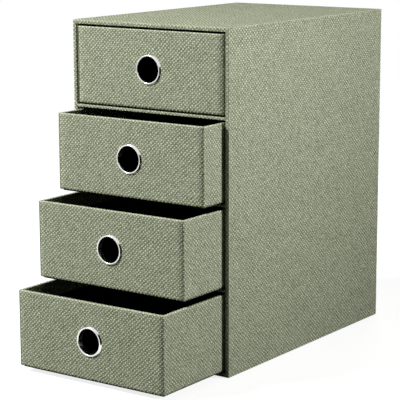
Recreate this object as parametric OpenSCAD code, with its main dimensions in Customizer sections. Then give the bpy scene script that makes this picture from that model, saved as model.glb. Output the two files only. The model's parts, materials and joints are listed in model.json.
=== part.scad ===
// Desktop mini drawers: a cloth-covered board case with a stack of open-top drawers.
// Each drawer is pulled by a finger through the metal eyelet in its front.
//
// Millimetres. The origin is the middle of the case's underside, +Z is up and the
// drawers open towards -Y. Bays, shelves and drawers are numbered from the top.

/* [Case] */
// Width of the case over its cloth
case_w = 139; // [110:1:200]
// Depth of the case over its cloth, front edge to back
case_d = 215; // [150:1:320]
// Height of the case over its cloth
case_h = 250; // [200:1:360]
// Number of drawers, one above the other
drawer_count = 4; // [3:1:5]

/* [Boards] */
// Thickness of the grey board in the case's walls
case_board = 2.4; // [1.8:0.1:3.6]
// Thickness of the shelves' board
shelf_board = 1.5; // [1:0.1:3]
// Thickness of the drawers' board
drawer_board = 1.9; // [1.2:0.1:3]

/* [Coverings] */
// Thickness of the woven cloth
cloth = 0.35; // [0.2:0.05:0.6]
// Thickness of the black lining paper
paper = 0.2; // [0.1:0.05:0.4]
// Thickness of the black card that a drawer stands on
base_card = 0.9; // [0.2:0.1:1.5]
// Depth of the cloth turned in behind the case's and the shelves' front edges
case_turn_in = 18; // [10:1:30]
// Depth of the cloth turned in below a drawer's rim
rim_turn_in = 12; // [6:1:16]
// Width of the cloth turned under a base or over the back
turn_under = 12; // [6:1:20]
// Bare margin round a sheet that is pasted over turned cloth
sheet_margin = 1; // [0.5:0.5:3]
// Bare margin round the card under a drawer
card_margin = 2; // [1:0.5:4]

/* [Drawers] */
// Gap at each side of a drawer in its bay
side_gap = 1.5; // [0.6:0.1:2.5]
// Gap above a drawer's rim
top_gap = 1.6; // [0.8:0.1:4]
// Running gap between a drawer's underside and the cloth on its bay's floor
floor_gap = 0.3; // [0.2:0.05:0.9]
// Gap left behind a closed drawer
back_gap = 0.4; // [0.3:0.1:3]
// How much further each drawer stands open than the one above it
pull_step = 23.7; // [0:0.1:32]

/* [Eyelet] */
// Diameter of the finger hole through the eyelet
finger_hole_d = 18.6; // [14:0.2:22]
// Radial width of the eyelet's rolled rim
eyelet_rim_w = 1.7; // [1.2:0.1:3]
// Thickness of the eyelet's sheet metal
eyelet_metal = 0.3; // [0.2:0.05:0.5]
// Radius of the curl that is crimped over the washer
crimp_r = 0.7; // [0.6:0.05:1]
// Thickness of the washer behind the drawer's front
washer_t = 0.5; // [0.3:0.1:1]
// Radial width of the washer
washer_w = 1.9; // [1.8:0.1:3]
// Gap round the eyelet's barrel in the board
eyelet_gap = 0.1; // [0.05:0.05:0.3]

/* [Hidden] */
$fn = 96;
// How far a cut runs past the face that it opens
past = 1;
DRAWERS = [1 : drawer_count];
SHELVES = [1 : drawer_count - 1];

// Case: the boards stand inside the cloth. The back carries two layers of it, the
// wrap's turned edges and the panel, and the underside has a sheet over the wrap.
front_y = -case_d / 2;
back_y = case_d / 2;
boards_w = case_w - 2 * cloth;
bay_w = boards_w - 2 * case_board;
boards_front_y = front_y + cloth;
boards_back_y = back_y - 2 * cloth;
bay_back_y = boards_back_y - case_board;
turn_in_y = front_y + case_turn_in;
underside_z = paper + cloth;
lowest_floor_z = underside_z + case_board;
boards_top_z = case_h - cloth;
ceiling_z = boards_top_z - case_board;
bay_h = (ceiling_z - lowest_floor_z - (drawer_count - 1) * shelf_board) / drawer_count;
opening_w = bay_w - 2 * cloth;
opening_z = lowest_floor_z + cloth;

// Drawer: its own frame starts below the middle of its front face, on the card's underside.
drawer_w = opening_w - 2 * side_gap;
drawer_l = bay_back_y - paper - back_gap - front_y;
drawer_h = bay_h - 2 * cloth - floor_gap - top_gap;
drawer_boards_w = drawer_w - 2 * cloth;
drawer_boards_l = drawer_l - 2 * cloth;
tray_w = drawer_boards_w - 2 * drawer_board;
tray_l = drawer_boards_l - 2 * drawer_board;
tray_y = cloth + drawer_board;
base_z = base_card + cloth;
tray_floor_z = base_z + drawer_board;
drawer_boards_top_z = drawer_h - cloth;
rim_lower_z = drawer_h - rim_turn_in;
eyelet_z = (base_card + drawer_h) / 2;

// Eyelet: its barrel grips cloth, board and lining between the rim and the washer.
grip = cloth + drawer_board + paper;
barrel_ir = finger_hole_d / 2;
barrel_or = barrel_ir + eyelet_metal;
hole_r = barrel_or + eyelet_gap;
crimp_y = grip + washer_t;

// Height of the boards' floor in bay i, counted from the top
function floor_z(i) = lowest_floor_z + (drawer_count - i) * (bay_h + shelf_board);
// How far drawer i stands open
function pull(i) = (i - 1) * pull_step;
// The name of a piece that repeats in each drawer, bay or shelf
function numbered(group, i, piece) = str(group, "_", i, "_", piece);

CASE_NODES = [
    "case_top_board", "case_bottom_board", "case_left_board", "case_right_board",
    "case_back_board", "case_cloth_wrap", "case_back_panel", "case_base_sheet",
];
SHELF_PIECES = ["board", "edging"];
DRAWER_PIECES = [
    "front_board", "back_board", "left_board", "right_board", "base_board",
    "cloth_wrap", "base_sheet", "lining", "eyelet", "eyelet_washer",
];

// A block of width w centred on X, from y0 to y1 and z0 to z1
module block(w, y0, y1, z0, z1) {
    translate([-w / 2, y0, z0]) cube([w, y1 - y0, z1 - z0]);
}

// Something on the left wall, at side -1, or on the right one, at side 1
module on_side(side) {
    mirror([side < 0 ? 1 : 0, 0, 0]) children();
}

// ---- Case boards ----

module case_top_board() {
    color("tan") block(boards_w, boards_front_y, boards_back_y, ceiling_z, boards_top_z);
}

module case_bottom_board() {
    color("tan") block(boards_w, boards_front_y, boards_back_y, underside_z, lowest_floor_z);
}

module case_side_board(side) {
    color("tan") on_side(side)
        translate([bay_w / 2, boards_front_y, lowest_floor_z])
            cube([case_board, boards_back_y - boards_front_y, ceiling_z - lowest_floor_z]);
}

module case_back_board() {
    color("tan") block(bay_w, bay_back_y, boards_back_y, lowest_floor_z, ceiling_z);
}

// The shelf under bay i: its front corners make room for the cloth turned in on the walls
module shelf_board_piece(i) {
    color("tan")
        translate([0, 0, floor_z(i) - shelf_board])
            linear_extrude(shelf_board)
                union() {
                    translate([-opening_w / 2, boards_front_y])
                        square([opening_w, bay_back_y - boards_front_y]);
                    translate([-bay_w / 2, turn_in_y])
                        square([bay_w, bay_back_y - turn_in_y]);
                }
}

// ---- Case coverings ----

// The cloth round the outside of all four walls, with its edges turned over the back
module case_wrap_outside() {
    field_w = case_w - 2 * turn_under;
    difference() {
        block(case_w, front_y, back_y - cloth, paper, case_h);
        block(boards_w, boards_front_y, boards_back_y, underside_z, boards_top_z);
        block(opening_w, front_y - past, boards_front_y + past, opening_z, ceiling_z - cloth);
        block(field_w, boards_back_y - past, back_y, paper + turn_under, case_h - turn_under);
    }
}

// The cloth turned in behind the front edges of all four walls
module case_wrap_turn_in() {
    difference() {
        block(bay_w, front_y, turn_in_y, lowest_floor_z, ceiling_z);
        block(opening_w, front_y - past, turn_in_y + past, opening_z, ceiling_z - cloth);
    }
}

module case_cloth_wrap() {
    color("darkseagreen") union() {
        case_wrap_outside();
        case_wrap_turn_in();
    }
}

// The panel on the back, thicker inside the wrap's turned edges
module case_back_panel() {
    panel_w = case_w - 2 * sheet_margin;
    field_w = case_w - 2 * turn_under;
    color("darkseagreen") union() {
        block(panel_w, back_y - cloth, back_y, paper + sheet_margin, case_h - sheet_margin);
        block(field_w, boards_back_y, back_y, paper + turn_under, case_h - turn_under);
    }
}

// The sheet under the base, which hides the seam of the wrap
module case_base_sheet() {
    sheet_w = case_w - 2 * sheet_margin;
    color("dimgray")
        block(sheet_w, front_y + sheet_margin, back_y - cloth - sheet_margin, 0, paper);
}

// The cloth folded round the front edge of the shelf under bay i
module shelf_edging(i) {
    top = floor_z(i);
    bottom = top - shelf_board;
    color("darkseagreen") difference() {
        block(opening_w, front_y, turn_in_y, bottom - cloth, top + cloth);
        block(opening_w + past, boards_front_y, turn_in_y + past, bottom, top);
    }
}

// The black paper on the walls, back, floor and ceiling of bay i, behind the turned cloth
module bay_lining(i) {
    bottom = floor_z(i);
    top = bottom + bay_h;
    color("dimgray") difference() {
        block(bay_w, turn_in_y, bay_back_y, bottom, top);
        block(bay_w - 2 * paper, turn_in_y - past, bay_back_y - paper, bottom + paper, top - paper);
    }
}

// ---- Drawers ----

// Puts a piece that is drawn in the drawer's frame where drawer i stands
module in_place(i) {
    translate([0, front_y - pull(i), floor_z(i) + cloth + floor_gap]) children();
}

// What turns a profile of radius and depth into a piece round the eyelet's axis
module round_eyelet_axis() {
    translate([0, 0, eyelet_z]) rotate([-90, 0, 0]) rotate_extrude() children();
}

// A round hole of radius r on the eyelet's axis, through all that lies between y0 and y1
module round_hole(r, y0, y1) {
    translate([0, y0, eyelet_z]) rotate([-90, 0, 0]) cylinder(r = r, h = y1 - y0);
}

module drawer_front_board() {
    color("tan") difference() {
        block(drawer_boards_w, cloth, tray_y, tray_floor_z, drawer_boards_top_z);
        round_hole(hole_r, 0, tray_y + past);
    }
}

module drawer_back_board() {
    y0 = tray_y + tray_l;
    color("tan")
        block(drawer_boards_w, y0, y0 + drawer_board, tray_floor_z, drawer_boards_top_z);
}

module drawer_side_board(side) {
    color("tan") on_side(side)
        translate([tray_w / 2, tray_y, tray_floor_z])
            cube([drawer_board, tray_l, drawer_boards_top_z - tray_floor_z]);
}

module drawer_base_board() {
    color("tan") block(drawer_boards_w, cloth, drawer_l - cloth, base_z, tray_floor_z);
}

// The cloth on the four walls, over the rim and down inside it, and under the base
module drawer_cloth_wrap() {
    inside_w = tray_w - 2 * cloth;
    inside_y0 = tray_y + cloth;
    inside_y1 = tray_y + tray_l - cloth;
    open_w = drawer_w - 2 * turn_under;
    color("darkseagreen") difference() {
        block(drawer_w, 0, drawer_l, base_card, drawer_h);
        block(drawer_boards_w, cloth, drawer_l - cloth, base_z, rim_lower_z);
        difference() {
            block(drawer_boards_w, cloth, drawer_l - cloth, rim_lower_z, drawer_boards_top_z);
            block(tray_w, tray_y, tray_y + tray_l, rim_lower_z, drawer_h);
        }
        block(inside_w, inside_y0, inside_y1, base_z, drawer_h + past);
        block(open_w, turn_under, drawer_l - turn_under, 0, base_z + past);
        round_hole(hole_r, -past, tray_y);
        round_hole(hole_r + washer_w + eyelet_gap, tray_y, inside_y0 + past);
    }
}

// The black card under the base, thicker inside the turned cloth: the drawer stands on it,
// and it holds the cloth's lower edge off the bay's floor
module drawer_base_sheet() {
    sheet_w = drawer_w - 2 * card_margin;
    field_w = drawer_w - 2 * turn_under;
    color("dimgray") union() {
        block(sheet_w, card_margin, drawer_l - card_margin, 0, base_card);
        block(field_w, turn_under, drawer_l - turn_under, 0, base_z);
    }
}

// The black paper on the floor and up the walls, to the lower edge of the turned cloth
module drawer_lining() {
    inside_y0 = tray_y + paper;
    inside_y1 = tray_y + tray_l - paper;
    color("dimgray") difference() {
        block(tray_w, tray_y, tray_y + tray_l, tray_floor_z, rim_lower_z);
        block(tray_w - 2 * paper, inside_y0, inside_y1, tray_floor_z + paper, drawer_h);
        round_hole(hole_r, tray_y - past, inside_y0 + past);
    }
}

// Half of a curled edge of sheet metal: an arch of radius r over the line h = 0
module curl(r) {
    difference() {
        circle(r);
        circle(r - eyelet_metal);
        translate([-2 * r, -2 * r]) square([4 * r, 2 * r]);
    }
}

// The rolled rim in front, the barrel through the wall, and the curl crimped behind
module drawer_eyelet() {
    rim_r = eyelet_rim_w / 2;
    color("gainsboro") round_eyelet_axis() {
        translate([barrel_ir + rim_r, 0]) mirror([0, 1]) curl(rim_r);
        translate([barrel_ir, 0]) square([eyelet_metal, crimp_y]);
        translate([barrel_ir + crimp_r, crimp_y]) curl(crimp_r);
    }
}

module drawer_eyelet_washer() {
    color("gainsboro") round_eyelet_axis()
        translate([hole_r, grip]) square([washer_w, washer_t]);
}

// ---- One line for each node ----

case_top_board();
case_bottom_board();
case_side_board(-1);  // case_left_board
case_side_board(1);  // case_right_board
case_back_board();
case_cloth_wrap();
case_back_panel();
case_base_sheet();

for (i = SHELVES) {
    shelf_board_piece(i);
    shelf_edging(i);
}

for (i = DRAWERS) {
    bay_lining(i);
    in_place(i) drawer_front_board();
    in_place(i) drawer_back_board();
    in_place(i) drawer_side_board(-1);
    in_place(i) drawer_side_board(1);
    in_place(i) drawer_base_board();
    in_place(i) drawer_cloth_wrap();
    in_place(i) drawer_base_sheet();
    in_place(i) drawer_lining();
    in_place(i) drawer_eyelet();
    in_place(i) drawer_eyelet_washer();
}
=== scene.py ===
# %% [markdown]
# # Desktop mini drawers, covered in woven cloth
#
# The object is a tall desk box of grey board with four small drawers. Everything that
# shows is sage-green cloth glued over board, black paper inside, and one metal eyelet in
# each drawer's front as a finger hole. The boards, papers and washers come from the packed
# model as they are. The cloth is made again here, because a real covering is rounded where
# it is folded over a board's edge, and a plain solid has sharp corners there.

import json
import math

import bmesh
import bpy
from mathutils import Matrix, Vector, noise

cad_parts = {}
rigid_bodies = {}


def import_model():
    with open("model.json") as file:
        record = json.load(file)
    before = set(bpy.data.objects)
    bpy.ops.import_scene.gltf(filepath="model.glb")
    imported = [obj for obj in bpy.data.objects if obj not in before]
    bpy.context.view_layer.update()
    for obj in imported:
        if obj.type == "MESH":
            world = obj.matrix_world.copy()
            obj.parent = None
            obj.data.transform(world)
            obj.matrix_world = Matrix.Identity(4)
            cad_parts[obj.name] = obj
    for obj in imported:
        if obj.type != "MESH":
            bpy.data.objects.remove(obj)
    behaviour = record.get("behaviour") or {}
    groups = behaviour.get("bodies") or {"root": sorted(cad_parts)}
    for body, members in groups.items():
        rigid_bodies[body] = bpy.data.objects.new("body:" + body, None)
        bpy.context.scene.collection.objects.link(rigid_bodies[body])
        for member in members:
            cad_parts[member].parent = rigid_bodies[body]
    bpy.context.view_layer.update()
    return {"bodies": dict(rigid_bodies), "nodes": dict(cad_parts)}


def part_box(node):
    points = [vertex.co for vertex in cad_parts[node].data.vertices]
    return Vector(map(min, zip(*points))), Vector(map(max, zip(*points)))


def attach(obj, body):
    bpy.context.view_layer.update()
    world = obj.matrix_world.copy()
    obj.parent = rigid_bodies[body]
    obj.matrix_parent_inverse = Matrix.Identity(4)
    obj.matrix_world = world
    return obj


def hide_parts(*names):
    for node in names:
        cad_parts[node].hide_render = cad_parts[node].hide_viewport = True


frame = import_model()
nodes = frame["nodes"]
MM = 0.001

# %% [markdown]
# ## Measure before making
#
# A covering fits its boards, so its sizes are read from the packed nodes and not typed in
# twice. The cloth is the step between the wrap and the board under it. A wall as it is
# seen is board with cloth on both faces.

# %% Read the sizes of boards and cloth
def size_of(node, axis):
    low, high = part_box(node)
    return high[axis] - low[axis]


X, Z = 0, 2
wrap_low, wrap_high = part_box("case_cloth_wrap")
CLOTH = wrap_high.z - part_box("case_top_board")[1].z
CASE_WALL = size_of("case_left_board", X) + 2 * CLOTH
DRAWER_WALL = size_of("drawer_1_left_board", X) + 2 * CLOTH
TURN_IN_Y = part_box("bay_1_lining")[0].y
TURN_OVER = 12 * MM           # cloth turned under a drawer's base and over the case's back
DRAWERS = sorted(name for name in frame["bodies"] if name.startswith("drawer_"))
SHELVES = sorted(name[: -len("_edging")] for name in nodes if name.endswith("_edging"))
print(f"cloth {CLOTH / MM:.2f} mm, case wall {CASE_WALL / MM:.2f} mm, "
      f"drawer wall {DRAWER_WALL / MM:.2f} mm")

# %% [markdown]
# ## Stand the camera
#
# The camera's place was found by matching the box's corners in the photograph. It stands in
# front of the box on the right, a little higher than the top, and looks through a long lens,
# so the edges hardly converge. Turning it with a matrix of three directions keeps the small
# roll of the real camera.

# %% Make the camera
CAMERA_PLACE = Vector((0.6835, -1.0063, 0.3410))
CAMERA_YAW, CAMERA_PITCH, CAMERA_ROLL = (math.radians(a) for a in (35.40, 10.97, -0.17))
LENS, SENSOR = 142.78, 36.0


def camera_matrix(place, yaw, pitch, roll):
    forward = Vector((-math.sin(yaw) * math.cos(pitch), math.cos(yaw) * math.cos(pitch),
                      -math.sin(pitch)))
    right = Vector((math.cos(yaw), math.sin(yaw), 0))
    up = right.cross(forward)
    rolled_right = math.cos(roll) * right + math.sin(roll) * up
    rolled_up = math.cos(roll) * up - math.sin(roll) * right
    turn = Matrix((rolled_right, rolled_up, -forward)).transposed()
    return Matrix.Translation(place) @ turn.to_4x4()


camera = bpy.data.objects.new("camera", bpy.data.cameras.new("camera"))
bpy.context.scene.collection.objects.link(camera)
camera.data.lens = LENS
camera.data.sensor_width = SENSOR
camera.matrix_world = camera_matrix(CAMERA_PLACE, CAMERA_YAW, CAMERA_PITCH, CAMERA_ROLL)
bpy.context.scene.camera = camera
print(f"camera {CAMERA_PLACE.length:.2f} m from the box, {LENS:.0f} mm lens")

# %% [markdown]
# ## Write a finish as a short recipe
#
# A finish is a chain of nodes, and adding each one by hand takes many lines. This helper
# adds a node, fills or links its inputs, and gives back its output, so that a finish reads
# from top to bottom like a recipe.

# %% The recipe helper
def feed(tree, socket, value):
    if isinstance(value, bpy.types.NodeSocket):
        tree.links.new(value, socket)
    else:
        socket.default_value = value


class Finish:
    """One material being made up. Each call adds a node and gives back its output."""

    def __init__(self, name):
        self.material = bpy.data.materials.new(name)
        self.material.use_nodes = True
        self.tree = self.material.node_tree
        self.surface = self.tree.nodes["Principled BSDF"]

    def add(self, kind, inputs, output=0, **settings):
        node = self.tree.nodes.new("ShaderNode" + kind)
        for key, value in settings.items():
            setattr(node, key, value)
        for key, value in inputs.items():
            feed(self.tree, node.inputs[key], value)
        return node.outputs[output]

    def sum(self, operation, *values):
        return self.add("Math", dict(enumerate(values)), operation=operation)

    def blend(self, share, first, second):
        return self.add("Mix", {0: share, 2: first, 3: second}, data_type="FLOAT")

    def blend_colour(self, share, first, second):
        return self.add("Mix", {0: share, 6: first, 7: second}, output=2, data_type="RGBA")

    def point(self, x, y, z=0.0):
        return self.add("CombineXYZ", {0: x, 1: y, 2: z})

    def patches(self, where, scale, detail=2.0):
        return self.add("TexNoise", {"Vector": where, "Scale": scale, "Detail": detail})

    def on_object(self):
        return self.add("TexCoord", {}, output="Object")

    def set(self, **inputs):
        for key, value in inputs.items():
            feed(self.tree, self.surface.inputs[key.replace("_", " ")], value)
        return self.material


print("steps of a recipe:", ", ".join(step for step in vars(Finish) if not step.startswith("_")))

# %% [markdown]
# ## The light
#
# Two round panels light what the camera sees of the box. One hangs high in front on the
# left, for the drawers' fronts and the top. The other stands behind on the right, for the
# long side. They are real lamps at a plain level, and not a bright room, because hardly any
# light may come from where the camera stands: the gaps beside the drawers then stay black,
# and the rounded upright corners show as darker lines. The panels are small for their
# distance, so that the shadow of each rim falls sharp into its tray. A grid before the right
# panel narrows its beam, which is aimed at the side's front end: the side gets darker towards
# the base and the back. A third panel behind the box lights its far side for views from there.

# %% Hang three round panels
BOX_MIDDLE = (0, -0.03, 0.125)
PANELS = {
    "front_left_panel": {"place": (-0.663, -0.911, 1.016), "aim": BOX_MIDDLE, "size": 0.40,
                         "beam": 180, "watts": 25.0},
    "right_panel": {"place": (1.30, 0.561, 0.609), "aim": (0.0695, -0.237, 0.35), "size": 0.40,
                    "beam": 56, "watts": 2.85},
    "rear_panel": {"place": (-0.40, 1.00, 0.32), "aim": BOX_MIDDLE, "size": 0.50,
                   "beam": 180, "watts": 5.0},
}


def hang_panel(name, place, aim, size, beam, watts):
    lamp = bpy.data.lights.new(name, "AREA")
    lamp.shape = "DISK"
    lamp.size = size
    lamp.spread = math.radians(beam)
    lamp.energy = watts
    panel = bpy.data.objects.new(name, lamp)
    bpy.context.scene.collection.objects.link(panel)
    panel.location = place
    panel.rotation_euler = (Vector(aim) - Vector(place)).to_track_quat("-Z", "Y").to_euler()
    panel.visible_camera = False
    return panel


for name, how in PANELS.items():
    hang_panel(name, **how)
bpy.context.scene.view_settings.view_transform = "Standard"
print("panels:", ", ".join(PANELS))

# %% [markdown]
# ## White room, dark corners
#
# The background has to be white without lighting the box any more. The world is white only
# to rays from the camera and to reflections, and dim to the light that reaches cloth. The
# floor is treated alike: near the box the camera sees a white glow and some lit paint, so
# that the soft shadow stays, and further out it is plain white. The light that the floor
# throws back on the box is that of a dark carpet.

# %% Paint the world
AMBIENT = 0.018               # how strongly the room itself lights the cloth
SKYLIGHT = (0.95, 0.98, 1.0, 1.0)
WHITE = (1.0, 1.0, 1.0, 1.0)
world = bpy.data.worlds.new("white_room")
bpy.context.scene.world = world
world.use_nodes = True
room = world.node_tree


def seen_directly(tree):
    """1 for rays from the camera, reflections and glass, and 0 for light on its way."""
    path = tree.nodes.new("ShaderNodeLightPath")
    total = path.outputs["Is Camera Ray"]
    for kind in ("Is Glossy Ray", "Is Transmission Ray"):
        either = tree.nodes.new("ShaderNodeMath")
        either.operation = "MAXIMUM"
        tree.links.new(total, either.inputs[0])
        tree.links.new(path.outputs[kind], either.inputs[1])
        total = either.outputs[0]
    return total


dim = room.nodes["Background"]
dim.inputs["Color"].default_value = SKYLIGHT
dim.inputs["Strength"].default_value = AMBIENT
white = room.nodes.new("ShaderNodeBackground")
white.inputs["Color"].default_value = WHITE
white.inputs["Strength"].default_value = 1.0
either_one = room.nodes.new("ShaderNodeMixShader")
room.links.new(seen_directly(room), either_one.inputs[0])
room.links.new(dim.outputs[0], either_one.inputs[1])
room.links.new(white.outputs[0], either_one.inputs[2])
room.links.new(either_one.outputs[0], room.nodes["World Output"].inputs["Surface"])
print(f"world: white to the camera, {AMBIENT} to the cloth")

# %% Lay the floor
FLOOR_RADIUS, FLOOR_SIDES = 12.0, 96
GLOW, PAINT = 0.82, 0.40
CARPET = (0.09, 0.09, 0.085, 1)
FADE_FROM, FADE_TO = 0.35, 1.1          # metres from the box, from lit paint to plain white
floor_mesh = bpy.data.meshes.new("floor")
turns = [2 * math.pi * k / FLOOR_SIDES for k in range(FLOOR_SIDES)]
rim = [(FLOOR_RADIUS * math.cos(a), FLOOR_RADIUS * math.sin(a), 0) for a in turns]
floor_mesh.from_pydata(rim, [], [range(FLOOR_SIDES)])
floor = bpy.data.objects.new("floor", floor_mesh)
bpy.context.scene.collection.objects.link(floor)
print(f"floor {2 * FLOOR_RADIUS:.0f} m across")

# %% Paint the floor
pale = Finish("floor_paint")
away = pale.add("VectorMath", {0: pale.on_object()}, output="Value", operation="LENGTH")
fade = pale.add("MapRange", {"Value": away, "From Min": FADE_FROM, "From Max": FADE_TO},
                interpolation_type="SMOOTHSTEP")
glow = pale.add("Emission", {"Color": WHITE, "Strength": GLOW})
paint = pale.add("BsdfDiffuse", {"Color": (PAINT, PAINT, PAINT, 1)})
near_box = pale.add("AddShader", {0: glow, 1: paint})
plain_white = pale.add("Emission", {"Color": WHITE, "Strength": 1.0})
seen = pale.add("MixShader", {0: fade, 1: near_box, 2: plain_white})
dark_carpet = pale.add("BsdfDiffuse", {"Color": CARPET})
lit = pale.add("MixShader", {0: seen_directly(pale.tree), 1: dark_carpet, 2: seen})
pale.tree.links.new(lit, pale.tree.nodes["Material Output"].inputs["Surface"])
pale.tree.nodes.remove(pale.surface)
floor_mesh.materials.append(pale.material)
print(f"floor plain white from {FADE_TO} m out")

# %% [markdown]
# ## A dark card for the metal
#
# Polished metal in an all-white room has no shape: it mirrors white on every side. A
# photographer stands a black card beside the camera, and the ring of an eyelet then has a
# black edge on that side. This card is a low curved wall on the right, with a foot on the
# floor that reaches towards the drawers, for the lowest eyelet. Only reflections see it: it
# takes no light from the cloth and the camera looks through it.

# %% Stand the dark card
CARD_RADIUS, CARD_HEIGHT = 0.36, 0.30
FOOT_RADIUS, FOOT_HEIGHT = 0.20, 0.002
NAP_SCALE, BLACKEST_FELT, BLACK_FELT = 60.0, (0.004, 0.004, 0.004, 1), (0.010, 0.010, 0.010, 1)
CARD_FROM, CARD_TO, CARD_STEPS = 18, 125, 27      # degrees to the right of straight ahead


def stand_card():
    section = ((FOOT_RADIUS, FOOT_HEIGHT), (CARD_RADIUS, FOOT_HEIGHT), (CARD_RADIUS, CARD_HEIGHT))
    points = []
    for k in range(CARD_STEPS + 1):
        angle = math.radians(CARD_FROM + (CARD_TO - CARD_FROM) * k / CARD_STEPS)
        points += [(radius * math.sin(angle), BOX_MIDDLE[1] - radius * math.cos(angle), z)
                   for radius, z in section]
    faces = [(3 * k + j, 3 * k + j + 3, 3 * k + j + 4, 3 * k + j + 1)
             for k in range(CARD_STEPS) for j in (0, 1)]
    mesh = bpy.data.meshes.new("dark_card")
    mesh.from_pydata(points, [], faces)
    card = bpy.data.objects.new("dark_card", mesh)
    bpy.context.scene.collection.objects.link(card)
    felt = Finish("dark_felt")
    nap = felt.patches(felt.on_object(), NAP_SCALE)
    felt.set(Base_Color=felt.blend_colour(nap, BLACKEST_FELT, BLACK_FELT), Roughness=1.0,
             Specular_IOR_Level=0.0)
    mesh.materials.append(felt.material)
    card.visible_camera = card.visible_diffuse = card.visible_shadow = False
    card.visible_transmission = False
    return card


stand_card()
print(f"dark card {CARD_HEIGHT} m high, {CARD_RADIUS} m from the middle of the box")

# %% [markdown]
# ## The woven cloth
#
# It is a plain weave of thick uneven threads, six or seven to the centimetre: each thread
# goes over one and under one. Modelling every crossing would take millions of faces, so
# the weave is worked out in the material. Every point knows its place on the cloth from the
# map named threads, which follows the cloth round the folds and counts whole threads both
# ways. From it come the thread's number, whether warp or weft is on top there, and how high
# it stands.

# %% Find the thread under each point
CLOTH_MAP = "threads"
DRIFT_SCALE = 90.0            # the rows drift together over about a centimetre
WARP_DRIFT, WEFT_DRIFT = 1.2, -0.9      # in threads
JITTER = 1.1                  # how far single threads stray from their rows, in threads
WARP_JITTER_SCALE, WEFT_JITTER_SCALE = 330.0, 410.0


def place_in_weave(f, spot):
    """How many threads a point lies across the warp, and how many along it."""
    place = f.add("UVMap", {}, uv_map=CLOTH_MAP)
    across = f.add("SeparateXYZ", {0: place}, output=0)
    along = f.add("SeparateXYZ", {0: place}, output=1)
    across = f.sum("MULTIPLY_ADD", f.patches(spot, WARP_JITTER_SCALE), JITTER, across)
    along = f.sum("MULTIPLY_ADD", f.patches(spot, WEFT_JITTER_SCALE), JITTER, along)
    drift = f.patches(spot, DRIFT_SCALE)
    return (f.sum("MULTIPLY_ADD", drift, WARP_DRIFT, across),
            f.sum("MULTIPLY_ADD", drift, WEFT_DRIFT, along))


print(f"threads stray by up to {JITTER} of their width from their rows")

# %% Shape the threads
CROWN, ARCH = 0.8, 0.4        # how round a thread is, and how much it dips at its ends


def thread_shapes(f, across, along, weft_on_top):
    """The wave of over and under, and how high the upper thread stands at a point."""
    warp_wave = f.sum("SINE", f.sum("MULTIPLY", across, math.pi))
    weft_wave = f.sum("SINE", f.sum("MULTIPLY", along, math.pi))
    warp_round, weft_round = f.sum("ABSOLUTE", warp_wave), f.sum("ABSOLUTE", weft_wave)
    heights = [f.sum("MULTIPLY", f.sum("POWER", own, CROWN), f.sum("POWER", other, ARCH))
               for own, other in ((warp_round, weft_round), (weft_round, warp_round))]
    return f.sum("MULTIPLY", warp_wave, weft_wave), f.blend(weft_on_top, *heights)


print(f"a thread's crown is its roundness to the power of {CROWN}")

# %% Shade the threads
MIDDLE_TONE = 0.67
WEFT_SHADE = 0.34             # how much darker the weft is than the warp
SLUB_SHADE = 0.22             # how much a thread's tone wanders along its length
KNOT_SHADE = 0.18             # how much one crossing differs from the next
FUZZ_SHADE = 0.25             # how much single hairs differ
CLOUD_SHADE = 0.07            # how much the sheet changes from place to place
GAP_PAINTED_SHADE, CROWN_PAINTED_LIGHT = 0.43, 0.80       # painted shade between threads, and the painted light a crown adds to it
# painted highlight and wear on folds, and painted shade in seams and under the base
FOLD_WEAR_AND_HIGHLIGHT, SEAM_AND_BASE_PAINTED_SHADE = 0.14, 0.30
SLUB_LENGTH = 0.16            # how fast the tone wanders along a thread
NEXT_THREAD = 3.7             # step in the noise from thread to thread, so that they differ
WEFT_SLUBS = 9.0              # the layer of the noise that the weft reads
CLOUD_SCALE = 38.0


def thread_tone(f, spot, across, along, weft_on_top, height, fuzz, fold):
    """How light a point of the cloth is, from 0 to 1, with painted shade between threads and in
    seams, and a painted highlight on folds.
    """
    warp, weft = f.sum("FLOOR", across), f.sum("FLOOR", along)
    warp_slub = f.patches(f.point(f.sum("MULTIPLY", warp, NEXT_THREAD),
                                  f.sum("MULTIPLY", along, SLUB_LENGTH)), scale=1.0)
    weft_slub = f.patches(f.point(f.sum("MULTIPLY", across, SLUB_LENGTH),
                                  f.sum("MULTIPLY", weft, NEXT_THREAD), WEFT_SLUBS),
                          scale=1.0)
    slub = f.blend(weft_on_top, warp_slub, weft_slub)
    knot = f.add("TexWhiteNoise", {"Vector": f.point(warp, weft)})
    cloud = f.patches(spot, CLOUD_SCALE, detail=3.0)
    tone = f.sum("SUBTRACT", MIDDLE_TONE, f.sum("MULTIPLY", weft_on_top, WEFT_SHADE))
    for pattern, shade in ((slub, SLUB_SHADE), (knot, KNOT_SHADE), (fuzz, FUZZ_SHADE),
                           (cloud, CLOUD_SHADE)):
        tone = f.sum("MULTIPLY_ADD", f.sum("SUBTRACT", pattern, 0.5), shade, tone)
    # painted shade in the gaps between threads, and painted light on their crowns
    tone = f.sum("MULTIPLY", tone, f.sum("MULTIPLY_ADD", height, CROWN_PAINTED_LIGHT, GAP_PAINTED_SHADE))
    # folds painted lighter, partly for wear and partly as a painted highlight
    tone = f.sum("MULTIPLY_ADD", f.sum("MAXIMUM", fold, 0.0), FOLD_WEAR_AND_HIGHLIGHT, tone)
    # seams and the fold under the base painted darker: painted shade
    tone = f.sum("MULTIPLY_ADD", f.sum("MINIMUM", fold, 0.0), SEAM_AND_BASE_PAINTED_SHADE, tone)
    return f.add("Clamp", {0: tone})


print(f"warp lighter than weft by {WEFT_SHADE} of the range of tones")

# %% Mix the sage cloth
LIGHT_THREAD = (0.79, 0.84, 0.625, 1)
DARK_THREAD = (0.034, 0.045, 0.011, 1)
OVER_UNDER = 0.55             # how far the warp stands above the weft, against their roundness
FUZZ_SCALE, FUZZ_HEIGHT = 2600.0, 0.25
PRESSED = 0.6                 # how much of the relief the press takes away on a fold
RELIEF = 0.26 * MM


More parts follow.
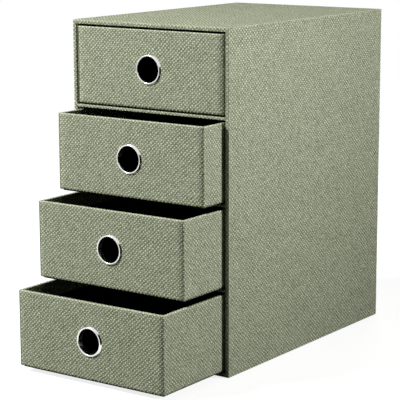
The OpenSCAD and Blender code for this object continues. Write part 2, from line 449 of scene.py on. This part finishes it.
def sage_cloth():
    f = Finish("sage_cloth")
    spot = f.on_object()
    fuzz = f.patches(spot, FUZZ_SCALE, detail=3.0)
    fold = f.add("Attribute", {}, output="Fac", attribute_name="fold")
    across, along = place_in_weave(f, spot)
    crossing = f.sum("ADD", f.sum("FLOOR", across), f.sum("FLOOR", along))
    weft_on_top = f.sum("FLOORED_MODULO", crossing, 2.0)
    over_under, height = thread_shapes(f, across, along, weft_on_top)
    tone = thread_tone(f, spot, across, along, weft_on_top, height, fuzz, fold)
    relief = f.sum("MULTIPLY", height, 1 - OVER_UNDER)
    relief = f.sum("MULTIPLY_ADD", over_under, OVER_UNDER, relief)
    relief = f.sum("MULTIPLY_ADD", fuzz, FUZZ_HEIGHT, relief)
    flatter = f.sum("MULTIPLY_ADD", f.sum("ABSOLUTE", fold), -PRESSED, 1.0)
    bump = f.add("Bump", {"Strength": 1.0, "Distance": RELIEF,
                          "Height": f.sum("MULTIPLY", relief, flatter)})
    return f.set(Base_Color=f.blend_colour(tone, DARK_THREAD, LIGHT_THREAD), Normal=bump,
                 Roughness=0.95, Specular_IOR_Level=0.0)


SAGE_CLOTH = sage_cloth()
print(f"{SAGE_CLOTH.name}: {len(SAGE_CLOTH.node_tree.nodes)} nodes")

# %% [markdown]
# ## Black paper, grey board and bright metal
#
# The linings are black cover paper with a fine felt-like grain. The board is grey recycled
# stock with darker flecks, and hardly shows. The eyelets are plated and polished by the
# press that rolled them, with fine scratches and duller patches where fingers pass. None of
# the three has a pattern, so layers of noise at their own sizes are enough for each.

# %% Mix the black paper
PAPER_BLACK, PAPER_DUSTY = (0.007, 0.007, 0.007, 1), (0.020, 0.020, 0.019, 1)
GRAIN_SCALE, STAIN_SCALE, GRAIN_SHARE = 1400.0, 30.0, 0.6
GRAIN_DEPTH = 0.05 * MM


def black_paper():
    f = Finish("black_paper")
    spot = f.on_object()
    grain, stain = f.patches(spot, GRAIN_SCALE, detail=4.0), f.patches(spot, STAIN_SCALE)
    tone = f.sum("ADD", f.sum("MULTIPLY", grain, GRAIN_SHARE),
                 f.sum("MULTIPLY", stain, 1 - GRAIN_SHARE))
    bump = f.add("Bump", {"Strength": 0.5, "Distance": GRAIN_DEPTH, "Height": grain})
    rough = f.add("MapRange", {"Value": stain, "To Min": 0.74, "To Max": 0.9})
    return f.set(Base_Color=f.blend_colour(tone, PAPER_BLACK, PAPER_DUSTY), Roughness=rough,
                 Normal=bump, Specular_IOR_Level=0.08)


BLACK_PAPER = black_paper()
print(f"{BLACK_PAPER.name}: grain {GRAIN_DEPTH / MM} mm deep")

# %% Mix the grey board
BOARD_DARK, BOARD_LIGHT = (0.19, 0.175, 0.15, 1), (0.36, 0.335, 0.29, 1)
FLECK, FLECK_SCALE, FLECK_SIZE, FLECK_SHARE = (0.09, 0.08, 0.07, 1), 700.0, 0.16, 0.6
FIBRE_SCALE, FIBRE_DEPTH = 420.0, 0.1 * MM
PRESSED_FLAT = (1, 1, 6)      # the fibres lie flat, so their pattern is thinner along Z


def grey_board():
    f = Finish("grey_board")
    spot = f.on_object()
    flat_spot = f.add("VectorMath", {0: spot, 1: PRESSED_FLAT}, operation="MULTIPLY")
    fibres = f.patches(flat_spot, FIBRE_SCALE, detail=5.0)
    base = f.blend_colour(fibres, BOARD_DARK, BOARD_LIGHT)
    flecks = f.sum("LESS_THAN", f.add("TexVoronoi", {"Vector": spot, "Scale": FLECK_SCALE}),
                   FLECK_SIZE)
    colour = f.blend_colour(f.sum("MULTIPLY", flecks, FLECK_SHARE), base, FLECK)
    bump = f.add("Bump", {"Strength": 0.6, "Distance": FIBRE_DEPTH, "Height": fibres})
    return f.set(Base_Color=colour, Normal=bump, Roughness=0.95, Specular_IOR_Level=0.2)


GREY_BOARD = grey_board()
print(f"{GREY_BOARD.name}: fibres {FIBRE_DEPTH / MM} mm deep")

# %% Mix the plated metal
WORN_PLATE, CLEAN_PLATE = (0.70, 0.69, 0.665, 1), (0.84, 0.83, 0.81, 1)
SMEAR_SCALE, SCRATCH_SCALE, SMEAR_SHARE = 160.0, 2400.0, 0.6
SCRATCH_DEPTH, ROUGHER = 0.004 * MM, 0.14


def plated_metal(name, smooth):
    f = Finish(name)
    spot = f.on_object()
    smears = f.patches(spot, SMEAR_SCALE, detail=3.0)
    scratches = f.patches(spot, SCRATCH_SCALE, detail=4.0)
    wear = f.sum("MULTIPLY_ADD", scratches, 1 - SMEAR_SHARE,
                 f.sum("MULTIPLY", smears, SMEAR_SHARE))
    rough = f.add("MapRange", {"Value": wear, "To Min": smooth, "To Max": smooth + ROUGHER})
    bump = f.add("Bump", {"Strength": 0.2, "Distance": SCRATCH_DEPTH, "Height": scratches})
    return f.set(Base_Color=f.blend_colour(wear, WORN_PLATE, CLEAN_PLATE), Roughness=rough,
                 Normal=bump, Metallic=1.0)


BRIGHT_METAL = plated_metal("bright_metal", smooth=0.09)
WASHER_METAL = plated_metal("washer_metal", smooth=0.34)
finishes = (SAGE_CLOTH, BLACK_PAPER, GREY_BOARD, BRIGHT_METAL, WASHER_METAL)
print("finishes:", ", ".join(finish.name for finish in finishes))

# %% [markdown]
# ## Finish the packed pieces
#
# The packed pieces keep their shapes. Each takes its finish by what it is: the last word
# of its name says whether it is a board, a sheet of paper, an eyelet or a washer.

# %% Put the finishes on the packed nodes
FINISH_OF = {
    "board": GREY_BOARD, "lining": BLACK_PAPER, "sheet": BLACK_PAPER, "wrap": SAGE_CLOTH,
    "panel": SAGE_CLOTH, "edging": SAGE_CLOTH, "eyelet": BRIGHT_METAL, "washer": WASHER_METAL,
}
for name, piece in nodes.items():
    piece.data.materials.clear()
    piece.data.materials.append(FINISH_OF[name.split("_")[-1]])
print(f"{len(nodes)} packed pieces have their finish")

# %% [markdown]
# ## A cross-section swept round a box
#
# Every covering here is a sheet folded round the edges of something square. Seen in a cut
# through one wall, it is a thin closed outline, and the covering is that outline carried
# round the box. So a covering needs only its outline: pairs of how far in from the outside
# and how far along. Corners are round by the same radius as the folds. The map named
# threads counts the threads round the box and along the outline, and the mark named fold is
# 1 on a fold, where the cloth is pressed and painted lighter, partly for wear and partly as
# a painted highlight, and below 0 in a seam, where it is painted darker as painted shade.

# %% Draw a fold
FOLD = 0.6 * MM               # outer radius of cloth folded over a board
FOLD_STEPS = 6


def fold(centre, radius, start, end):
    """Points of an arc, with 1 for being on a fold; the angles are in degrees."""
    angles = [math.radians(start + (end - start) * k / FOLD_STEPS)
              for k in range(FOLD_STEPS + 1)]
    return [(centre[0] + radius * math.cos(a), centre[1] + radius * math.sin(a), 1.0)
            for a in angles]


print(f"a fold has {FOLD_STEPS} steps of {90 / FOLD_STEPS:.0f} degrees")

# %% Add points to an outline
LONGEST = 5 * MM              # longest stretch of the mesh without a point
BESIDE_FOLD = 0.4 * MM        # a point this close to a fold keeps the flat part flat
SHORT_RUN = 2.5 * BESIDE_FOLD           # less than this has no room for points of its own


def spaced(outline, longest=LONGEST):
    """The closed outline with points added: one beside each fold, and more on long runs."""
    points = []
    for (x0, y0, f0), (x1, y1, f1) in zip(outline, outline[1:] + outline[:1]):
        points.append((x0, y0, f0))
        run = math.hypot(x1 - x0, y1 - y0)
        if run < SHORT_RUN:
            continue
        count = max(1, round(run / longest))
        shares = [k / count for k in range(1, count)]
        shares = [BESIDE_FOLD / run] + shares + [1 - BESIDE_FOLD / run]
        points += [(x0 + (x1 - x0) * s, y0 + (y1 - y0) * s, 0.0) for s in shares]
    return points


strip = [(0, 0, 0.0), (0.1, 0, 0.0), (0.1, CLOTH, 0.0), (0, CLOTH, 0.0)]
print(f"the outline of a 100 mm strip gets {len(spaced(strip))} points")

# %% Lay out one turn round the box
CORNER_STEPS = 8
TIGHTEST = 0.12 * MM          # smallest radius inside a corner
# The seam beside a corner: millimetres past the corner, and how deep the cloth dips there; the dip
# also marks the seam for painted shade.
SEAM = ((0.0, 0.0), (0.1, 0.7), (0.25, 1.0), (0.4, 0.7), (0.5, 0.0))


def turn_round(width, height, inset, seam_depth):
    """Points (x, y, metres of cloth, fold) once round a box, inset from its outside."""
    radius = max(TIGHTEST, FOLD - inset)
    right, top = width / 2 - inset - radius, height / 2 - inset - radius
    corners = [(right, -top), (right, top), (-right, top), (-right, -top)]
    lengths = [width, height, width, height]
    seam_depth *= max(0.0, 1 - inset / FOLD)
    points, done = [], 0.0
    for side in range(4):
        start, end = Vector(corners[side - 1]), Vector(corners[side])
        out = Vector((math.sin(side * math.pi / 2), -math.cos(side * math.pi / 2)))
        run = (end - start).length
        deep = seam_depth * (side % 2 == 0)           # only on the front and the back
        stops = [(at * MM, dip) for at, dip in SEAM]
        count = max(2, round(lengths[side] / LONGEST))
        stops += [(run * k / count, 0.0) for k in range(1, count)]
        stops += [(run - at * MM, dip) for at, dip in reversed(SEAM)]
        for at, dip in stops:
            place = start + (end - start) * (at / run) + out * (radius - dip * deep)
            # a seam's point is marked below 0, where the cloth gets painted shade
            points.append((place.x, place.y, done + inset + radius + at, -dip * (deep > 0)))
        for k in range(1, CORNER_STEPS):
            angle = (side - 1) * math.pi / 2 + math.pi / 2 * k / CORNER_STEPS
            cloth = done + lengths[side] + (inset + radius) * (2 * k / CORNER_STEPS - 1)
            # the case's corners are marked 1 like folds, painted lighter for wear and as a painted
            # highlight
            points.append((end.x + radius * math.cos(angle), end.y + radius * math.sin(angle),
                           cloth, 0.0 if seam_depth else 1.0))
        done += lengths[side]
    return points, done


ring, length = turn_round(0.1, 0.2, 0.0, 0.0)
print(f"a turn round a 100 by 200 mm box has {len(ring)} points and {length / MM:.0f} mm of cloth")

# %% Let the glued cloth swell
SWELL = 0.07 * MM             # how far the glued cloth lifts between the folds
SWELL_SIZE = 26 * MM
FADE = 5 * MM                 # how far from a fold it lifts fully


def lifted(x, y, along, width, height, longest):
    """A point of the outside, moved out a little where the cloth swells."""
    from_edge = min(along, longest - along, max(width / 2 - abs(x), height / 2 - abs(y)))
    lift = SWELL * min(1.0, max(0.0, from_edge / FADE))
    lift *= 0.5 + 0.5 * noise.noise(Vector((x, y, along)) / SWELL_SIZE)
    if abs(x / width) > abs(y / height):
        return x + math.copysign(lift, x), y
    return x, y + math.copysign(lift, y)


print(f"cloth swells by up to {SWELL / MM} mm")

# %% Make a cloth piece from points and faces
SHARP = math.radians(50)      # an edge that turns more than this stays sharp


def face_outwards(mesh):
    """Turns every face of a closed mesh to look out of it."""
    shape = bmesh.new()
    shape.from_mesh(mesh)
    bmesh.ops.recalc_face_normals(shape, faces=shape.faces)
    shape.to_mesh(mesh)
    shape.free()


def cloth_piece(name, points, faces, corners, folds):
    """A mesh in sage cloth, with its map of threads and its marks for folds."""
    mesh = bpy.data.meshes.new(name)
    mesh.from_pydata(points, [], faces)
    threads = mesh.uv_layers.new(name=CLOTH_MAP)
    threads.data.foreach_set("uv", [value for corner in corners for value in corner])
    on_fold = mesh.attributes.new("fold", "FLOAT", "POINT")
    on_fold.data.foreach_set("value", folds)
    face_outwards(mesh)
    mesh.materials.append(SAGE_CLOTH)
    piece = bpy.data.objects.new(name, mesh)
    bpy.context.scene.collection.objects.link(piece)
    return piece


def smoothed(piece):
    """Soft shading over the folds, with the cut edges of the cloth left sharp."""
    piece.data.shade_smooth()
    piece.data.set_sharp_from_angle(angle=SHARP)
    return piece


print(f"edges stay sharp from {math.degrees(SHARP):.0f} degrees")

# %% Carry the outline round the box
SEEN_INSET = 4 * FOLD         # further in than this, a fold isn't marked


def swept(name, width, height, outline, to_place, threads, seam_depth=0.0, first_thread=(0, 0)):
    """A closed covering. to_place turns (x, y, along) into a point of the model, and threads
    gives the two distances between threads: round the box and along the outline."""
    outline = spaced(outline)
    rings = [turn_round(width, height, inset, seam_depth) for inset, _, _ in outline]
    count = len(rings[0][0])
    longest = max(along for _, along, _ in outline)
    points, folds = [], []
    for (inset, along, on_fold), (ring, _) in zip(outline, rings):
        for x, y, _, on_corner in ring:
            if inset < CLOTH / 2:
                x, y = lifted(x, y, along, width, height, longest)
            points.append(to_place(x, y, along))
            # a seam's painted shade wins over a fold's painted highlight and wear
            darker, lighter = sorted((on_fold, on_corner))
            mark = darker if darker < 0 else lighter
            folds.append(mark if inset < SEEN_INSET else 0.0)
    faces, corners = [], []
    run = 0.0
    for k, (inset, along, _) in enumerate(outline):
        after = (k + 1) % len(outline)
        next_run = run + math.hypot(outline[after][0] - inset, outline[after][1] - along)
        for i in range(count):
            j = (i + 1) % count
            faces.append((k * count + i, k * count + j, after * count + j, after * count + i))
            for which, at, row in ((i, k, run), (j, k, run), (j, after, next_run),
                                   (i, after, next_run)):
                ring, once_round = rings[at]
                u = ring[which][2] + (once_round if which < i else 0.0)
                corners.append((u / threads[0] + first_thread[0],
                                row / threads[1] + first_thread[1]))
        run = next_run
    return cloth_piece(name, points, faces, corners, folds)


print(f"folds are marked up to {SEEN_INSET / MM:.1f} mm in")

# %% [markdown]
# ## The drawers' cloth
#
# One strip goes round the four walls. It is turned 12 mm under the base, and over the rim
# and down the inside to where the black paper begins. Beside each upright corner the cloth
# dips into a narrow seam, which shows as a thin dark line, partly the shade of the dip and
# partly painted shade. A sweep can't leave a hole in one wall, so the finger hole is punched
# afterwards, as it is in the real cloth.

# %% The outline of a drawer's cloth
SEAM_DEPTH = 0.16 * MM
BASE_FOLD = 1.1 * MM          # the cloth turns more softly under the base than over the rim
BASE_PAINTED_SHADE = -0.6                 # and is painted darker there: painted shade under the base


def drawer_outline(height, lower):
    """Cut through a drawer's wall: inset from the outside, and height over the base."""
    wall, board = DRAWER_WALL, DRAWER_WALL - CLOTH
    under = fold((BASE_FOLD, BASE_FOLD), BASE_FOLD, 270, 180)
    return (
        [(TURN_OVER, 0.0, 0.0)]
        + [(inset, along, BASE_PAINTED_SHADE) for inset, along, _ in under]
        + fold((FOLD, height - FOLD), FOLD, 180, 90)
        + fold((wall - FOLD, height - FOLD), FOLD, 90, 0)
        + [(wall, lower, 0.0), (board, lower, 0.0), (board, height - CLOTH, 0.0),
           (CLOTH, height - CLOTH, 0.0), (CLOTH, CLOTH, 0.0), (TURN_OVER, CLOTH, 0.0)]
    )


print(f"folds of {FOLD / MM} mm over the rim and {BASE_FOLD / MM} mm under the base")

# %% Cut the finger hole
HOLE_SIDES = 96


def finger_hole(piece, centre, radius, depth):
    """Cuts a round hole along Y through the cloth, from depth before it to depth behind."""
    turns = [2 * math.pi * k / HOLE_SIDES for k in range(HOLE_SIDES)]
    points = [(centre.x + radius * math.cos(a), y, centre.z + radius * math.sin(a))
              for y in (centre.y - depth, centre.y + depth) for a in turns]
    sides = [(k, (k + 1) % HOLE_SIDES, HOLE_SIDES + (k + 1) % HOLE_SIDES, HOLE_SIDES + k)
             for k in range(HOLE_SIDES)]
    mesh = bpy.data.meshes.new("punch")
    mesh.from_pydata(points, [], sides + [range(HOLE_SIDES), range(HOLE_SIDES, 2 * HOLE_SIDES)])
    face_outwards(mesh)
    punch = bpy.data.objects.new("punch", mesh)
    bpy.context.scene.collection.objects.link(punch)
    cut = piece.modifiers.new("finger_hole", "BOOLEAN")
    cut.operation, cut.solver, cut.object = "DIFFERENCE", "EXACT", punch
    bpy.context.view_layer.update()
    result = piece.evaluated_get(bpy.context.evaluated_depsgraph_get())
    dressed = bpy.data.meshes.new_from_object(result)
    piece.modifiers.clear()
    piece.data = dressed
    bpy.data.objects.remove(punch)


print(f"the punch has {HOLE_SIDES} sides")

# %% Cover the drawers
DRAWER_THREADS = (1.56 * MM, 1.456 * MM)      # from thread to thread, round and up
THREADS_ON, THREADS_UP = 211, 118             # so that no two drawers show the same threads
WASHER_RING = 1.9 * MM        # how far the washer reaches past the hole in the cloth
PUNCH_DEPTH = 1.2 * MM        # through the cloth, and not through the board and the lining

for order, drawer in enumerate(DRAWERS):
    node = drawer + "_cloth_wrap"
    low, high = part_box(node)
    middle = (low + high) / 2
    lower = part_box(drawer + "_lining")[1].z - low.z
    wrap = swept(drawer + "_cloth", high.x - low.x, high.y - low.y,
                 drawer_outline(high.z - low.z, lower),
                 lambda x, y, along: (middle.x + x, middle.y + y, low.z + along),
                 DRAWER_THREADS, SEAM_DEPTH, (THREADS_ON * order, THREADS_UP * order))
    eyelet_low, eyelet_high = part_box(drawer + "_eyelet")
    centre = (eyelet_low + eyelet_high) / 2
    centre.y = low.y
    hole_radius = size_of(drawer + "_eyelet_washer", X) / 2 - WASHER_RING
    finger_hole(wrap, centre, hole_radius, PUNCH_DEPTH)
    smoothed(wrap)
    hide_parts(node)
    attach(wrap, drawer)
    print(f"{wrap.name}: {len(wrap.data.polygons)} faces")

# %% [markdown]
# ## The eyelets
#
# A finger eyelet is a thin metal tube. Its front edge is rolled into a lip that slopes down
# to the cloth when it is made, and its back edge is rolled over a washer when it is set. The
# slope is what mirrors the dark card: it shows as a black crescent on the right, and white
# at the top. Polished metal shows every flat face as a break in a reflection, so the eyelet
# is turned again here from a finely stepped profile, like a bowl on a lathe. Its radii are
# measured on the packed one.

# %% Measure an eyelet
SPREAD = 0.2 * MM             # how far the rim's edge lies past the packed rim's


def eyelet_sizes(node):
    """The axis, the hole's radius, the rim's width, the depth of the cloth, and the radius
    and the depth of the curl behind."""
    low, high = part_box(node)
    axis = Vector(((low.x + high.x) / 2, 0, (low.z + high.z) / 2))
    spots = [(math.hypot(v.co.x - axis.x, v.co.z - axis.z), v.co.y)
             for v in nodes[node].data.vertices]
    hole = min(radius for radius, _ in spots)
    widest = max(radius for radius, _ in spots)
    halfway = (low.y + high.y) / 2
    widest_behind = max(radius for radius, y in spots if y > halfway)
    packed_rim, curl = widest - hole, (widest_behind - hole) / 2
    return axis, hole, packed_rim + SPREAD, low.y + packed_rim / 2, curl, high.y - curl


axis, hole, rim, cloth_y, curl, back = eyelet_sizes("drawer_1_eyelet")
print(f"hole {2 * hole / MM:.1f} mm, rim {rim / MM:.2f} mm wide, curl {2 * curl / MM:.2f} mm")

# %% Draw an eyelet's profile
METAL = 0.3 * MM              # thickness of the sheet that eyelets are drawn from
LIP = 0.7 * MM                # radius of the rolled lip round the hole
SLOPE = math.radians(57)      # how steeply the rim falls from the lip to the cloth
ARC_STEPS = 16


def arc(middle, radius, depth, start, end):
    """An arc of (distance from the axis, depth); the angles are in degrees."""
    angles = [math.radians(start + (end - start) * k / ARC_STEPS) for k in range(ARC_STEPS + 1)]
    return [(middle + radius * math.cos(a), depth + radius * math.sin(a)) for a in angles]


def eyelet_profile(hole, rim, cloth_y, curl, back):
    """The closed outline of the metal: the outside from rim to curl, and back inside it."""
    fall = (rim - LIP - LIP * math.sin(SLOPE)) * math.tan(SLOPE)
    front = cloth_y - fall + LIP * math.cos(SLOPE)
    slope_at = 270 + math.degrees(SLOPE)
    return ([(hole + rim, cloth_y)] + arc(hole + LIP, LIP, front, slope_at, 180)
            + arc(hole + curl, curl, back, 180, 0)
            + arc(hole + curl, curl - METAL, back, 0, 180)
            + arc(hole + LIP, LIP - METAL, front, 180, slope_at)
            + [(hole + rim - METAL / math.sin(SLOPE), cloth_y)])


profile = eyelet_profile(hole, rim, cloth_y, curl, back)
print(f"the rim stands {(cloth_y - min(y for _, y in profile)) / MM:.2f} mm out of the cloth")

# %% Turn the eyelets
ROUND_STEPS = 160


def turned(name, axis, profile):
    """The closed profile carried round the axis, which points along Y."""
    count = len(profile)
    points, faces = [], []
    for k in range(ROUND_STEPS):
        a = 2 * math.pi * k / ROUND_STEPS
        points += [(axis.x + r * math.cos(a), y, axis.z + r * math.sin(a)) for r, y in profile]
        after = (k + 1) % ROUND_STEPS
        for i in range(count):
            j = (i + 1) % count
            faces.append((k * count + i, k * count + j, after * count + j, after * count + i))
    mesh = bpy.data.meshes.new(name)
    mesh.from_pydata(points, [], faces)
    face_outwards(mesh)
    mesh.materials.append(BRIGHT_METAL)
    piece = bpy.data.objects.new(name, mesh)
    bpy.context.scene.collection.objects.link(piece)
    return smoothed(piece)


for drawer in DRAWERS:
    axis, *sizes = eyelet_sizes(drawer + "_eyelet")
    ring = turned(drawer + "_bright_eyelet", axis, eyelet_profile(*sizes))
    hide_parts(drawer + "_eyelet")
    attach(ring, drawer)
print(f"{len(DRAWERS)} eyelets of {len(ring.data.polygons)} faces")

# %% [markdown]
# ## The case's cloth
#
# The same sweep covers the case, with the outline carried round an axis that runs from
# front to back: out from behind the front edges, over them, along the walls and 12 mm over
# the back board, where the back panel covers its cut edge.

# %% Cover the case
CASE_THREADS = (1.50 * MM, 1.72 * MM)         # from thread to thread, round and back


def case_outline(depth, turn_in):
    """Cut through a case wall: inset from the outside, and distance behind the front."""
    wall, board = CASE_WALL, CASE_WALL - CLOTH
    return (
        [(wall, turn_in, 0.0)]
        + fold((wall - FOLD, FOLD), FOLD, 0, -90)
        + fold((FOLD, FOLD), FOLD, 270, 180)
        + fold((FOLD, depth - FOLD), FOLD, 180, 90)
        + [(TURN_OVER, depth, 0.0), (TURN_OVER, depth - CLOTH, 0.0), (CLOTH, depth - CLOTH, 0.0),
           (CLOTH, CLOTH, 0.0), (board, CLOTH, 0.0), (board, turn_in, 0.0)]
    )


case_middle = (wrap_low + wrap_high) / 2
case_wrap = swept("case_cloth", wrap_high.x - wrap_low.x, wrap_high.z - wrap_low.z,
                  case_outline(wrap_high.y - wrap_low.y, TURN_IN_Y - wrap_low.y),
                  lambda x, z, along: (case_middle.x + x, wrap_low.y + along, case_middle.z + z),
                  CASE_THREADS)
smoothed(case_wrap)
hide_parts("case_cloth_wrap")
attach(case_wrap, "case")
print(f"{case_wrap.name}: {len(case_wrap.data.polygons)} faces")

# %% [markdown]
# ## The shelves' edgings
#
# A strip of the same cloth is folded round each shelf's front edge. Its outline, seen from
# the end, is drawn once and carried straight from wall to wall. Sweeping it round a box as
# before wouldn't do, because a shelf's strip has two ends.

# %% Fold a strip of cloth and carry it along X
def folded_strip(name, outline, x0, x1, threads, first_thread=(0, 0)):
    """A closed outline of (y, z, fold) carried from x0 to x1, with both ends closed."""
    outline = spaced(outline)
    steps = max(2, round((x1 - x0) / LONGEST))
    count = len(outline)
    stations = [x0 + (x1 - x0) * k / steps for k in range(steps + 1)]
    points = [(x, y, z) for x in stations for y, z, _ in outline]
    folds = [on_fold for _ in stations for _, _, on_fold in outline]
    runs = [0.0]
    for (y0, z0, _), (y1, z1, _) in zip(outline, outline[1:] + outline[:1]):
        runs.append(runs[-1] + math.hypot(y1 - y0, z1 - z0))
    faces, corners = [], []
    for k in range(steps):
        for i in range(count):
            j = (i + 1) % count
            here, after = k * count, (k + 1) * count
            faces.append((here + i, here + j, after + j, after + i))
            for row, at in ((k, i), (k, i + 1), (k + 1, i + 1), (k + 1, i)):
                corners.append(((x1 - x0) * row / steps / threads[0] + first_thread[0],
                                runs[at] / threads[1] + first_thread[1]))
    for k in (0, steps):
        faces.append([k * count + i for i in range(count)])
        corners += [(y / threads[0], z / threads[1]) for y, z, _ in outline]
    return smoothed(cloth_piece(name, points, faces, corners, folds))


print(f"a strip has a point every {LONGEST / MM:.0f} mm at most")

# %% Edge the shelves
NOSE = 0.95 * MM              # a shelf is thin, so its edge is nearly a half round
EDGE_THREADS_ON, EDGE_THREADS_UP = 37, 53     # so that no two edgings show the same threads


def edging_outline(low, high):
    """Cut through an edging, seen from its end: distance back, and height."""
    front, back = low.y, high.y
    inner_low, inner_high = low.z + CLOTH, high.z - CLOTH
    lower = fold((front + NOSE, low.z + NOSE), NOSE, 270, 180)
    upper = fold((front + NOSE, high.z - NOSE), NOSE, 180, 90)
    return (
        [(back, low.z, 0.0)]
        + [(y, z, 0.0) for y, z, _ in lower + upper]
        + [(back, high.z, 0.0), (back, inner_high, 0.0), (front + CLOTH, inner_high, 0.0),
           (front + CLOTH, inner_low, 0.0), (back, inner_low, 0.0)]
    )


for order, shelf in enumerate(SHELVES):
    low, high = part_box(shelf + "_edging")
    strip = folded_strip(shelf + "_edging_cloth", edging_outline(low, high), low.x, high.x,
                         DRAWER_THREADS, (EDGE_THREADS_ON * order, EDGE_THREADS_UP * order))
    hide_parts(shelf + "_edging")
    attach(strip, "case")
    print(f"{strip.name}: {size_of(shelf + '_edging', Z) / MM:.1f} mm thick")

# %% [markdown]
# ## The back panel
#
# A single sheet closes the back. It lies over the turned edges of the wrap, so it stands a
# little higher there, and the edge of the turned cloth shows through as a faint step. It
# isn't folded anywhere, so it is a grid of points that a rule lifts or lowers, with rows and
# columns close together where the step is.

# %% Mark the panel's rows and columns
STEP_DEPTH = 0.12 * MM        # how much lower the panel lies past the turned cloth
STEP_WIDTH = 1.2 * MM
ROUND_EDGE = 0.15 * MM        # taken off along the panel's rim
panel_low, panel_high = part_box("case_back_panel")
STEP_FROM_SIDE = TURN_OVER - (panel_low.x - wrap_low.x)
STEP_FROM_BASE = TURN_OVER - (panel_low.z - wrap_low.z)


def marks(start, end, step_at):
    """Places along one side: close together at the edge and at the step, even between."""
    near = [0.0, ROUND_EDGE, step_at, step_at + STEP_WIDTH / 2, step_at + STEP_WIDTH]
    first, last = start + near[-1], end - near[-1]
    count = round((last - first) / LONGEST)
    return ([start + n for n in near]
            + [first + (last - first) * k / count for k in range(1, count)]
            + [end - n for n in reversed(near)])


columns = marks(panel_low.x, panel_high.x, STEP_FROM_SIDE)
rows = marks(panel_low.z, panel_high.z, STEP_FROM_BASE)
print(f"back panel: {len(columns)} columns and {len(rows)} rows")

# %% Lay the back panel
def outside_of_panel(x, z):
    """How far back the outside is at a point: lower past the step, and swelling there."""
    from_edge = min(x - panel_low.x, panel_high.x - x, z - panel_low.z, panel_high.z - z)
    past_step = (from_edge - STEP_FROM_SIDE) / STEP_WIDTH
    y = panel_high.y - STEP_DEPTH * min(1.0, max(0.0, past_step))
    if from_edge < ROUND_EDGE / 2:
        y -= ROUND_EDGE
    if past_step > 1:
        y -= SWELL * (0.5 + 0.5 * noise.noise(Vector((x, z, 0)) / SWELL_SIZE))
    return y


def back_panel():
    spots = [(x, z) for z in rows for x in columns]
    points = [(x, outside_of_panel(x, z), z) for x, z in spots]
    points += [(x, panel_high.y - CLOTH, z) for x, z in spots]
    wide, tall = len(columns), len(rows)
    below = wide * tall
    faces = []
    for r in range(tall - 1):
        for c in range(wide - 1):
            a = r * wide + c
            b = below + a
            faces.append((a, a + 1, a + wide + 1, a + wide))
            faces.append((b, b + wide, b + wide + 1, b + 1))
    bottom, top = list(range(wide)), [(tall - 1) * wide + c for c in range(wide)]
    left, right = [[r * wide + c for r in range(1, tall - 1)] for c in (0, wide - 1)]
    rim = bottom + right + top[::-1] + left[::-1]
    faces += [(a, b, below + b, below + a) for a, b in zip(rim, rim[1:] + rim[:1])]
    corners = [(points[i][0] / CASE_THREADS[1], points[i][2] / CASE_THREADS[0])
               for face in faces for i in face]
    return cloth_piece("case_back_cloth", points, faces, corners, [0.0] * len(points))


panel = smoothed(back_panel())
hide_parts("case_back_panel")
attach(panel, "case")
print(f"{panel.name}: {len(panel.data.polygons)} faces")

# %% [markdown]
# ## The sizes of the made pieces
#
# The made cloth swells a few hundredths of a millimetre past the packed model, and the rims
# of the eyelets stand 0.4 mm prouder.
